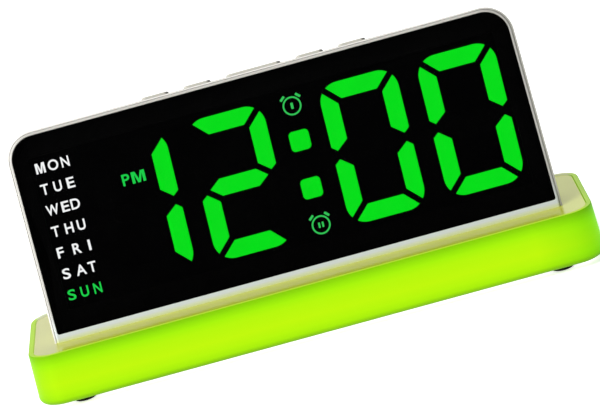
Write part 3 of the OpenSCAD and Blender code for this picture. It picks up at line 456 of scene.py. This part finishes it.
def ring_material():
    """Frosted lime plastic, lit from inside and brightest below the middle: dim at the rim and the
    bottom, partly as painted shade, with painted shade at the ends and painted light and reflection on
    the rim.
    """
    n = Nodes("lime_glow")
    x, y, z = n.xyz()
    off_middle = n.math("ABSOLUTE", x)
    # Painted light from the left, fading to painted shade at the right
    shade_to_right = n.fade(x, LEFT_TO_RIGHT)
    height = n.fade(z, (RING_LOW, RING_TOP))
    cloud = n.noise(22, detail=3)
    # Glow by height, brightest below the middle; its fall toward the rounded rim and the bottom edge is
    # partly uneven glow and partly painted shade
    glow = n.ramp(height, [
        (0.00, srgb(72, 112, 0)),
        (0.06, srgb(114, 172, 0)),
        (0.13, srgb(164, 236, 0)),
        (0.24, srgb(184, 247, 0)),
        (0.42, srgb(198, 249, 0)),
        (0.68, srgb(184, 248, 0)),
        (0.80, srgb(164, 244, 0)),
        (0.90, srgb(136, 222, 0)),
        (0.972, srgb(118, 194, 0)),
    ])
    from_brightest = n.math("ABSOLUTE", n.math("SUBTRACT", height, BRIGHTEST))
    dimmed = n.mix(n.span(from_brightest, *FROM_BRIGHTEST), srgb(100, 222, 0), srgb(84, 178, 0))
    # Painted shade darkens the glow toward the right end
    glow = n.mix(n.fade(x, RIGHT_PAINTED_SHADE, 0.0, RIGHT_PAINTED_SHADE_SHARE), glow, dimmed, "MULTIPLY")
    # Painted shade dims the glow at the left end
    glow = n.mix(n.fade(x, LEFT_PAINTED_SHADE, 1.0, 0.0), glow, srgb(214, 228, 255), "MULTIPLY")
    glow = n.mix(n.span(cloud, 0.35, 0.65, 0.0, 0.1), glow, srgb(170, 240, 0))
    # The rim: painted light and shade on its inner wall, a painted highlight on its flat top and a
    # painted cream reflection along the rear
    rear = n.math("MULTIPLY", n.fade(y, REAR_RIM), n.fade(off_middle, REAR_RIM_ENDS, 1.0, 0.0))
    # Painted cream reflection for the rear of the rim, paler at the left
    rear_rim_painted_reflection = n.mix(shade_to_right, srgb(222, 218, 201), srgb(194, 192, 158))
    # Painted light and shade on the inner wall: lighter at the left, darker at the right
    wall = n.mix(shade_to_right, srgb(180, 212, 90), srgb(124, 170, 24))
    glow = n.mix(n.fade(n.inside_ring(), INNER_WALL), glow, n.mix(rear, wall, rear_rim_painted_reflection))
    # Painted highlight on the rim's flat top, paler at the ends and at the left
    ends = n.mix(shade_to_right, srgb(180, 212, 88), srgb(172, 202, 96))
    flat = n.mix(n.fade(off_middle, END_RIM), srgb(186, 214, 60), ends)
    glow = n.mix(n.span(height, *RIM_FLAT), glow, n.mix(rear, flat, rear_rim_painted_reflection))
    # Painted cream reflection also on the rear top edge
    glow = n.mix(n.math("MULTIPLY", rear, n.span(height, *RIM_EDGE)), glow, rear_rim_painted_reflection)
    n.shine(glow, RING_GLOW)
    n.set(Specular_IOR_Level=0.05)
    n.colour(n.ramp(cloud, tones(scaled(srgb(170, 235, 0), RING_BODY), 0.05)))
    grain = n.grain(4200)
    n.rough(grain, 0.36, 0.5)
    n.bump(grain, strength=0.1)
    return n.mat


def deck_material():
    """Cream plastic plate, half gloss, with painted light: the ring's light painted mustard at its
    edges, painted paler behind the head and at its ends, and a painted glow.
    """
    n = Nodes("cream_deck")
    x, y, _ = n.xyz()
    off_middle = n.math("ABSOLUTE", x)
    from_end = n.math("SUBTRACT", DECK_HALF_W * MM, off_middle)
    from_side = n.math("SUBTRACT", DECK_HALF_D * MM, n.math("ABSOLUTE", y))
    inward = n.math("MINIMUM", from_end, from_side)
    # Painted light of the ring: mustard at the edges, fading to cream inside
    cream = n.ramp(n.fade(inward, PAINTED_RING_LIGHT), [
        (0.0, deck_tint(176, 200, 30)),
        (0.25, deck_tint(186, 194, 44)),
        (0.6, deck_tint(192, 196, 60)),
        (1.0, deck_tint(208, 212, 110)),
    ])
    # Painted light lifts the head's shadow behind it to a pale cream
    painted_light_behind_head = n.math("MULTIPLY", n.fade(y, BEHIND_FACE),
                         n.fade(off_middle, BEHIND_HEAD_ENDS, 1.0, 0.0))
    right_end_painted_light = n.fade(x, RIGHT_END)
    cream = n.mix(painted_light_behind_head, cream, srgb(226, 226, 176))
    # Painted light at the ends; stronger at the right end, which lies in shade
    cream = n.mix(n.fade(x, LEFT_END, 1.0, 0.0), cream, deck_tint(190, 192, 122))
    cream = n.mix(right_end_painted_light, cream, deck_tint(188, 197, 112))
    cloud = n.noise(60, detail=4)
    n.colour(n.mix(0.12, cream, n.ramp(cloud, tones(srgb(198, 200, 76), 0.2))))
    # Painted glow: the deck is no lamp; it lifts the shade, most at the right end
    n.shine(n.mix(right_end_painted_light, cream, srgb(246, 250, 88)), DECK_PAINTED_GLOW)
    n.set(IOR=1.6)
    grain = n.grain(2600)
    n.rough(grain, 0.14, 0.22)
    n.bump(grain, strength=0.04)
    return n.mat


# Materials of the head

def bezel_material():
    """Satin plastic, warm grey round the lens, with painted light along its outer edge, painted light
    that makes the sill a cooler white, and a painted reflection of the lime deck at its foot.
    """
    n = Nodes("bezel_white")
    x, _, z = n.xyz()
    cloud = n.flow()
    # Painted light along the bezel's outer edge, fading out toward the right end
    edge_light_mask = n.math("MULTIPLY", n.fade(n.depth(), BEZEL_EDGE_LIGHT_DEPTH), n.fade(x, PAINTED_EDGE_LIGHT_ENDS, 1.0, 0.0))
    upper = n.mix(edge_light_mask, n.ramp(cloud, tones(srgb(191, 189, 182), 0.04)), PAINTED_EDGE_LIGHT)
    # Painted light: the sill is a lighter, cooler white than the rest of the bezel
    lower = n.ramp(cloud, tones(srgb(222, 228, 231), 0.02))
    # Painted reflection of the lime deck at the foot of the sill
    lower = n.mix(n.fade(z, PAINTED_DECK_REFLECTION), srgb(224, 232, 160), lower)
    n.colour(n.mix(n.fade(z, SILL_BLEND), lower, upper))
    grain = n.grain(FINE_GRAIN)
    n.rough(grain, 0.3, 0.42)
    n.bump(grain, strength=0.06)
    return n.mat


def key_ends(key):
    """Left and right end of a key's cap."""
    low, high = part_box(key + "_button")
    return low.x + KEY_FLANGE_W * MM, high.x - KEY_FLANGE_W * MM


def housing_material():
    """Satin grey plastic with painted light along the front edge, except at the keys and the right end.
    """
    n = Nodes("housing_grey")
    x, _, _ = n.xyz()
    depth = n.depth()
    _, row_end = key_ends(KEYS[-1])
    past_keys = n.span(n.math("ABSOLUTE", x), row_end, row_end + KEY_ROW_FADE * MM)
    # Painted light along the housing's front edge, fading out toward the right end
    edge_light_mask = n.math("MULTIPLY", n.fade(depth, HOUSING_EDGE_LIGHT_DEPTH, 1.0, 0.0),
                  n.fade(x, PAINTED_EDGE_LIGHT_ENDS, 1.0, 0.0))
    edge_light_mask = n.math("MULTIPLY", edge_light_mask, n.math("MAXIMUM", n.fade(depth, LIP_DEPTH, 1.0, 0.0), past_keys))
    tint = n.mix(edge_light_mask, n.ramp(n.flow(), tones(HOUSING_GREY, 0.04)), PAINTED_EDGE_LIGHT)
    n.plastic(tint, HOUSING_GREY, n.grain(FINE_GRAIN), rough=0.42, relief=0.12)
    return n.mat


def key_material(key):
    """Satin grey plastic of a key, with painted shade at the cap's front right corner."""
    n = Nodes("key_grey_" + key)
    x, _, _ = n.xyz()
    _, right = key_ends(key)
    inner, outer = (right - inward * MM for inward in KEY_PAINTED_SHADE_IN)
    # Painted shade at the cap's front right corner
    corner = n.math("MULTIPLY", n.span(x, inner, outer), n.fade(n.depth(), KEY_PAINTED_SHADE_DEPTH, 1.0, 0.0))
    tint = n.mix(corner, n.ramp(n.flow(), tones(KEY_GREY, 0.04)), srgb(126, 126, 120))
    n.plastic(tint, KEY_GREY, n.grain(FINE_GRAIN), rough=0.45, relief=0.12)
    return n.mat


def lens_material():
    """Smoked acrylic: what is dark behind it stays black, what is lit shines through."""
    n = Nodes("smoked_lens")
    haze = n.noise(70, detail=3)
    darkest = (0.0006, 0.0006, 0.0007, 1)
    palest = (0.0012, 0.0012, 0.0013, 1)
    n.colour(n.ramp(haze, [(0.3, darkest), (0.7, palest)]))
    n.rough(haze, 0.05, 0.09)
    n.set(Alpha=LENS_ALPHA, Specular_IOR_Level=0.1, IOR=1.49)
    return n.mat


def lit(name, colour):
    """Lit film: bright, with a faint unevenness from the chips behind it."""
    n = Nodes(name)
    patch = n.noise(160, detail=2)
    n.shine(n.ramp(patch, tones(colour, 0.03)), FILM_GLOW)
    n.set(Base_Color=(0.01, 0.01, 0.01, 1), Roughness=0.6)
    return n.mat


plate_mat = moulded("plate_white", srgb(222, 222, 218), 0.5, grain_mm=0.6, relief=0.25)
rubber_mat = moulded("foot_rubber", srgb(15, 18, 9), 0.75, grain_mm=0.5, relief=0.4, spread=0.12,
                     gloss=0.1)
black_mat = moulded("black_plastic", srgb(28, 28, 30), 0.5)
ivory_mat = moulded("socket_ivory", srgb(222, 214, 190), 0.45)
cable_mat = moulded("cable_white", srgb(224, 224, 221), 0.5)
dark_mat = moulded("reflector_dark", srgb(7, 7, 7), 0.8, gloss=0.03)
tape_mat = moulded("tape_black", srgb(7, 7, 7), 0.8, gloss=0.03)
bar_mat = moulded("tinted_bar", srgb(8, 9, 8), 0.7, gloss=0.03)
film_mat = moulded("legend_film", srgb(7, 7, 7), 0.7, gloss=0.03)
chip_mat = moulded("light_chip", srgb(226, 214, 150), 0.3)
lamp_mat = moulded("lamp_resin", srgb(240, 236, 170), 0.25)
cone_mat = moulded("cone_paper", srgb(52, 51, 50), 0.85, grain_mm=0.8, relief=0.5, spread=0.15)
wrap_mat = moulded("cell_wrap", srgb(186, 128, 52), 0.25, spread=0.08)
magnet_mat = moulded("magnet_ferrite", srgb(70, 70, 74), 0.6, spread=0.12)
board_mat = circuit_board("board_green", srgb(14, 74, 40), srgb(40, 112, 62))
strip_mat = circuit_board("light_board", srgb(226, 228, 226), srgb(196, 198, 194))
screw_mat = metal("screw_steel", srgb(172, 172, 176), 0.32)
plated_mat = metal("plated_metal", srgb(206, 206, 210), 0.2, streak=(1, 6, 1))
basket_mat = metal("basket_steel", srgb(120, 120, 124), 0.45)

DRESS = [
    (ring_material(), ["night_light_ring"]),
    (deck_material(), ["base_deck"]),
    (plate_mat, ["base_plate", "battery_door"]),
    (rubber_mat, ["rubber_feet"]),
    (screw_mat, ["base_screws", "battery_door_screw", "power_board_screws", "neck_screws",
                 "board_screws", "housing_screws", "key_board_screws"]),
    (wrap_mat, ["battery_cells"]),
    (plated_mat, ["battery_contacts", "power_inlet"]),
    (basket_mat, ["speaker_basket"]),
    (cone_mat, ["speaker_cone"]),
    (magnet_mat, ["speaker_magnet"]),
    (strip_mat, ["front_light_board", "rear_light_board"]),
    (lamp_mat, ["night_light_lamps"]),
    (board_mat, ["power_board", "main_board", "key_board"]),
    (tape_mat, ["lens_tape"]),
    (black_mat, ["inlet_tongue", "clock_circuit", "key_switches"]),
    (black_mat, [key + "_plunger" for key in KEYS]),
    (ivory_mat, ["cable_plug"]),
    (cable_mat, ["head_cable"]),
    (housing_material(), ["rear_housing"]),
    (bezel_material(), ["front_bezel"]),
    (lens_material(), ["display_lens"]),
    (dark_mat, ["display_reflector"]),
    (bar_mat, [place + "_bars" for place in LIT_BARS]),
    (bar_mat, ["colon_bars"]),
    (film_mat, ["legend_windows"]),
    (chip_mat, ["display_chips"]),
]
DRESS += [(key_material(key), [key + "_button"]) for key in KEYS]
for material, names in DRESS:
    for name in names:
        slots = nodes[name].data.materials
        slots.clear()
        slots.append(material)


# Flat shapes of the display, in millimetres on the face: x from its middle, y from mid height

def left_of(a, b, p):
    """Above zero where p lies left of the line from a to b, below zero where it lies right."""
    return (b[0] - a[0]) * (p[1] - a[1]) - (b[1] - a[1]) * (p[0] - a[0])


def clip(shape, fence):
    """The part of a convex outline inside another convex outline; both run anticlockwise."""
    for a, b in zip(fence, fence[1:] + fence[:1]):
        kept = []
        for p, q in zip(shape, shape[1:] + shape[:1]):
            at_p, at_q = left_of(a, b, p), left_of(a, b, q)
            if at_p >= 0:
                kept.append(p)
            if at_p * at_q < 0:
                t = at_p / (at_p - at_q)
                kept.append((p[0] + t * (q[0] - p[0]), p[1] + t * (q[1] - p[1])))
        shape = kept
    return shape


def anticlockwise(shape):
    area = sum(p[0] * q[1] - q[0] * p[1] for p, q in zip(shape, shape[1:] + shape[:1]))
    return shape if area > 0 else shape[::-1]


def round_box(x0, y0, x1, y1, r):
    out = []
    for cx, cy, start in ((x1 - r, y1 - r, 0), (x0 + r, y1 - r, 90),
                          (x0 + r, y0 + r, 180), (x1 - r, y0 + r, 270)):
        for k in range(ARC_STEPS + 1):
            a = math.radians(start + 90 * k / ARC_STEPS)
            out.append((cx + r * math.cos(a), cy + r * math.sin(a)))
    return out


def placed(shape, cx, cy, angle=0):
    """A shape turned about its origin, which is then moved to a place."""
    c, s = math.cos(math.radians(angle)), math.sin(math.radians(angle))
    return [(cx + x * c - y * s, cy + x * s + y * c) for x, y in shape]


def bar(name):
    """Outline of one light bar, a to g, with the digit's lower left corner as the origin."""
    cut = BAR_GAP / 2 * math.sqrt(2)
    w, h = DIGIT_W, DIGIT_H
    if name == "g":
        end = TIP_X - TIP_Y / TIP_SLOPE + BAR_GAP * math.sqrt(1 + TIP_SLOPE ** 2) / TIP_SLOPE
        half = BAR_W / 2
        run = half / TIP_SLOPE
        return [(end, h / 2), (end + run, h / 2 - half), (w - end - run, h / 2 - half),
                (w - end, h / 2), (w - end - run, h / 2 + half), (end + run, h / 2 + half)]
    if name in "ad":
        shape = [(cut, h), (BAR_W + cut, h - BAR_W), (w - BAR_W - cut, h - BAR_W), (w - cut, h)]
    else:
        tip = h / 2 + TIP_Y
        shape = [(0, h - cut), (0, tip + TIP_X * TIP_SLOPE), (TIP_X, tip),
                 (BAR_W, tip + (BAR_W - TIP_X) * TIP_SLOPE), (BAR_W, h - cut - BAR_W)]
    if name in "dce":
        shape = [(x, h - y) for x, y in shape]
    if name in "bc":
        shape = [(w - x, y) for x, y in shape]
    return clip(anticlockwise(shape), round_box(0, 0, w, h, DIGIT_R))


def glyph(letter):
    """Flat mesh of a capital letter from the built-in font, made a little bolder."""
    curve = bpy.data.curves.new("glyph", "FONT")
    curve.body = letter
    curve.size = 1
    curve.offset = LETTER_BOLD
    curve.resolution_u = LETTER_STEPS
    holder = bpy.data.objects.new("glyph", curve)
    scene.collection.objects.link(holder)
    bpy.context.view_layer.update()
    shown = holder.evaluated_get(bpy.context.evaluated_depsgraph_get())
    mesh = bpy.data.meshes.new_from_object(shown)
    bpy.data.objects.remove(holder)
    bpy.data.curves.remove(curve)
    return mesh


# Pieces of the display

class Film:
    """Thin film behind the lens, made of flat shapes that lean to the right by a slant."""

    def __init__(self, slant):
        self.bm = bmesh.new()
        self.slant = slant

    def spot(self, x, y, depth):
        """A new corner of the film, at a place on the face and a depth behind it."""
        return self.bm.verts.new(Vector((x + self.slant * y, depth, MID_Z + y)) * MM)

    def plate(self, shape):
        front = [self.spot(x, y, FILM_FRONT) for x, y in shape]
        back = [self.spot(x, y, FILM_BACK) for x, y in shape]
        self.bm.faces.new(front)
        self.bm.faces.new(back[::-1])
        for i in range(len(shape)):
            k = (i + 1) % len(shape)
            self.bm.faces.new((front[i], back[i], back[k], front[k]))

    def ring(self, cx, cy, r_in, r_out):
        steps = 4 * ARC_STEPS
        section = ((r_in, FILM_FRONT), (r_out, FILM_FRONT), (r_out, FILM_BACK), (r_in, FILM_BACK))
        corners = []
        for k in range(steps):
            angle = 2 * math.pi * k / steps
            corners.append([self.spot(cx + r * math.cos(angle), cy + r * math.sin(angle), depth)
                            for r, depth in section])
        for k in range(steps):
            a, b = corners[k], corners[(k + 1) % steps]
            for i in range(len(section)):
                j = (i + 1) % len(section)
                self.bm.faces.new((a[i], a[j], b[j], b[i]))

    def letter_m(self, x0, x1, y0, y1):
        """The letter M, drawn with straight legs and filling a box."""
        over = [(1 - x, y) for x, y in M_HALF[2::-1]]
        back = [(1 - x, y) for x, y in M_HALF_INSIDE[::-1]]
        outline = list(M_HALF) + over + back + list(M_HALF_INSIDE)
        self.plate([(x0 + x * (x1 - x0), y0 + y * (y1 - y0)) for x, y in outline[::-1]])

    def letter(self, capital, x0, x1, y0, y1):
        """A capital letter stretched to fill a box."""
        if capital == "M":
            self.letter_m(x0, x1, y0, y1)
            return
        mesh = glyph(capital)
        one = bmesh.new()
        one.from_mesh(mesh)
        bpy.data.meshes.remove(mesh)
        bmesh.ops.remove_doubles(one, verts=one.verts, dist=LETTER_WELD)
        xs = [v.co.x for v in one.verts]
        ys = [v.co.y for v in one.verts]
        wide, tall = max(xs) - min(xs), max(ys) - min(ys)
        spots = {}
        for v in one.verts:
            x = x0 + (v.co.x - min(xs)) / wide * (x1 - x0)
            y = y0 + (v.co.y - min(ys)) / tall * (y1 - y0)
            spots[v] = (self.spot(x, y, FILM_FRONT), self.spot(x, y, FILM_BACK))
        for f in one.faces:
            self.bm.faces.new([spots[v][0] for v in f.verts])
            self.bm.faces.new([spots[v][1] for v in reversed(f.verts)])
        for e in one.edges:
            if len(e.link_faces) == 1:
                a, b = e.verts
                self.bm.faces.new((spots[a][0], spots[b][0], spots[b][1], spots[a][1]))
        one.free()

    def day(self, word, row, shift=0):
        """A weekday word: outer letters flush with the column, the middle one between them."""
        first, middle, last = (LETTER_W[c] for c in word)
        low = DAY_TOP - row * DAY_PITCH - LETTER_H / 2
        centre = (DAY_LEFT + first + DAY_RIGHT - last) / 2 + shift
        lefts = (DAY_LEFT, centre - middle / 2, DAY_RIGHT - last)
        for capital, left in zip(word, lefts):
            self.letter(capital, left, left + LETTER_W[capital], low, low + LETTER_H)

    def finish(self, name, material):
        """Make the film a piece on the clock's body."""
        bmesh.ops.recalc_face_normals(self.bm, faces=self.bm.faces)
        mesh = bpy.data.meshes.new(name)
        self.bm.to_mesh(mesh)
        self.bm.free()
        piece = bpy.data.objects.new(name, mesh)
        scene.collection.objects.link(piece)
        mesh.materials.append(material)
        mesh.transform(HEAD)
        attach(piece, "clock_body")


def digit(place, bars, material):
    film = Film(MARK_SLANT)
    left = extent(place + "_bars", TO_HEAD)[0].x + LIT_INSET
    for name in bars:
        film.plate([(left + x, y - DIGIT_H / 2) for x, y in bar(name)])
    film.finish(place + "_glow", material)


def colon(material):
    film = Film(MARK_SLANT)
    square = round_box(-COLON_HALF, -COLON_HALF, COLON_HALF, COLON_HALF, COLON_R)
    for rise in (-COLON_RISE, COLON_RISE):
        film.plate(placed(square, COLON_X, rise))
    film.finish("colon_glow", material)


def alarm_sign(name, material):
    """Round alarm symbol with two bells and one or two strokes in it."""
    (cx, cy), strokes, tall, wide = ALARM_SIGNS[name]
    film = Film(MARK_SLANT)
    film.ring(cx, cy, ICON_R - ICON_STROKE, ICON_R)
    bell = round_box(-BELL_HALF_W, -BELL_HALF_H, BELL_HALF_W, BELL_HALF_H, BELL_R)
    for s in (-1, 1):
        film.plate(placed(bell, cx + s * BELL_X, cy + BELL_Y, -s * BELL_TILT))
    stroke = round_box(-wide / 2, -tall / 2, wide / 2, tall / 2, STROKE_R)
    for dx in strokes:
        film.plate(placed(stroke, cx + dx, cy))
    film.finish(name, material)


def weekdays(material, lit_material):
    """The column of weekday words, and the lit one below it."""
    film = Film(WORD_SLANT)
    for row, (word, shift) in enumerate(DAYS):
        film.day(word, row, shift)
    film.finish("weekday_words", material)
    lit_film = Film(WORD_SLANT)
    lit_film.day(LIT_DAY, len(DAYS))
    lit_film.finish("weekday_lit_word", lit_material)


def half_day(material):
    film = Film(WORD_SLANT)
    for capital, (left, right) in HALF_DAY.items():
        film.letter(capital, LENS_LEFT + left, LENS_LEFT + right, HALF_DAY_LOW, HALF_DAY_TOP)
    film.finish("half_day_word", material)


green_mat = lit("lit_green", srgb(0, 222, 22))
sign_mat = lit("lit_sign_green", srgb(48, 190, 84))
word_mat = lit("lit_word_green", srgb(24, 205, 72))
print_mat = lit("lit_white", srgb(242, 243, 244))

for place, bars in LIT_BARS.items():
    digit(place, bars, green_mat)
colon(green_mat)
for sign in ALARM_SIGNS:
    alarm_sign(sign, sign_mat)
weekdays(print_mat, word_mat)
half_day(word_mat)


# Floor, light and camera

def floor():
    n = Nodes("pale_floor")
    cloud = n.noise(3, detail=3)
    n.colour(n.ramp(cloud, tones((0.9, 0.9, 0.9, 1), 0.008)))
    n.shine(n.ramp(cloud, tones((0.98, 0.98, 0.98, 1), 0.01)), FLOOR_GLOW)
    n.rough(cloud, 0.75, 0.85)
    n.set(Specular_IOR_Level=0.1)
    mesh = bpy.data.meshes.new("floor")
    corners = [(sx * FLOOR_HALF, sy * FLOOR_HALF, 0) for sx, sy in ((-1, -1), (1, -1), (1, 1), (-1, 1))]
    mesh.from_pydata(corners, [], [(0, 1, 2, 3)])
    mesh.materials.append(n.mat)
    obj = bpy.data.objects.new("floor", mesh)
    scene.collection.objects.link(obj)


def key_light():
    light = bpy.data.lights.new("key", "AREA")
    light.shape = "DISK"
    light.size = LIGHT_SIZE
    light.energy = LIGHT_WATTS
    obj = bpy.data.objects.new("key", light)
    obj.location = LIGHT_PLACE
    obj.rotation_euler = (LIGHT_AIM - LIGHT_PLACE).to_track_quat("-Z", "Y").to_euler()
    scene.collection.objects.link(obj)


def dark_flag(tree, where, aim, edge, core, shade):
    """White light that falls to a grey shade round one direction, as behind a black flag."""
    dot = tree.nodes.new("ShaderNodeVectorMath")
    dot.operation = "DOT_PRODUCT"
    dot.inputs[1].default_value = Vector(aim).normalized()
    tree.links.new(where, dot.inputs[0])
    ramp = tree.nodes.new("ShaderNodeValToRGB")
    ends = ramp.color_ramp.elements
    ends[0].position, ends[0].color = edge, (1, 1, 1, 1)
    ends[1].position, ends[1].color = core, (shade, shade, shade, 1)
    tree.links.new(dot.outputs["Value"], ramp.inputs["Fac"])
    return ramp.outputs["Color"]


def sky():
    """White light from all round, darker to the right and where the lens would mirror it."""
    world = bpy.data.worlds.new("studio")
    scene.world = world
    world.use_nodes = True
    tree = world.node_tree
    where = tree.nodes.new("ShaderNodeTexCoord").outputs["Generated"]
    both = tree.nodes.new("ShaderNodeVectorMath")
    both.operation = "MULTIPLY"
    tree.links.new(dark_flag(tree, where, **FRONT_FLAG), both.inputs[0])
    tree.links.new(dark_flag(tree, where, **RIGHT_FLAG), both.inputs[1])
    back = tree.nodes["Background"]
    tree.links.new(both.outputs["Vector"], back.inputs["Color"])
    back.inputs["Strength"].default_value = SKY


def camera():
    level = Vector((math.cos(VIEW_AZIMUTH), math.sin(VIEW_AZIMUTH), 0))
    ahead = Vector((-math.sin(VIEW_AZIMUTH), math.cos(VIEW_AZIMUTH), 0))
    back = math.sin(VIEW_ELEVATION) * Vector((0, 0, 1)) - math.cos(VIEW_ELEVATION) * ahead
    up = back.cross(level)
    right = math.cos(VIEW_ROLL) * level + math.sin(VIEW_ROLL) * up
    top = -math.sin(VIEW_ROLL) * level + math.cos(VIEW_ROLL) * up
    data = bpy.data.cameras.new("camera")
    data.lens = FOCAL_LENGTH
    data.sensor_width = SENSOR_WIDTH
    data.clip_start = VIEW_CLIP * MM
    obj = bpy.data.objects.new("camera", data)
    turn = Matrix((right, top, back)).transposed().to_4x4()
    obj.matrix_world = Matrix.Translation((VIEW_TARGET + VIEW_DISTANCE * back) * MM) @ turn
    scene.collection.objects.link(obj)
    scene.camera = obj


floor()
sky()
key_light()
camera()
scene.view_settings.view_transform = "Standard"
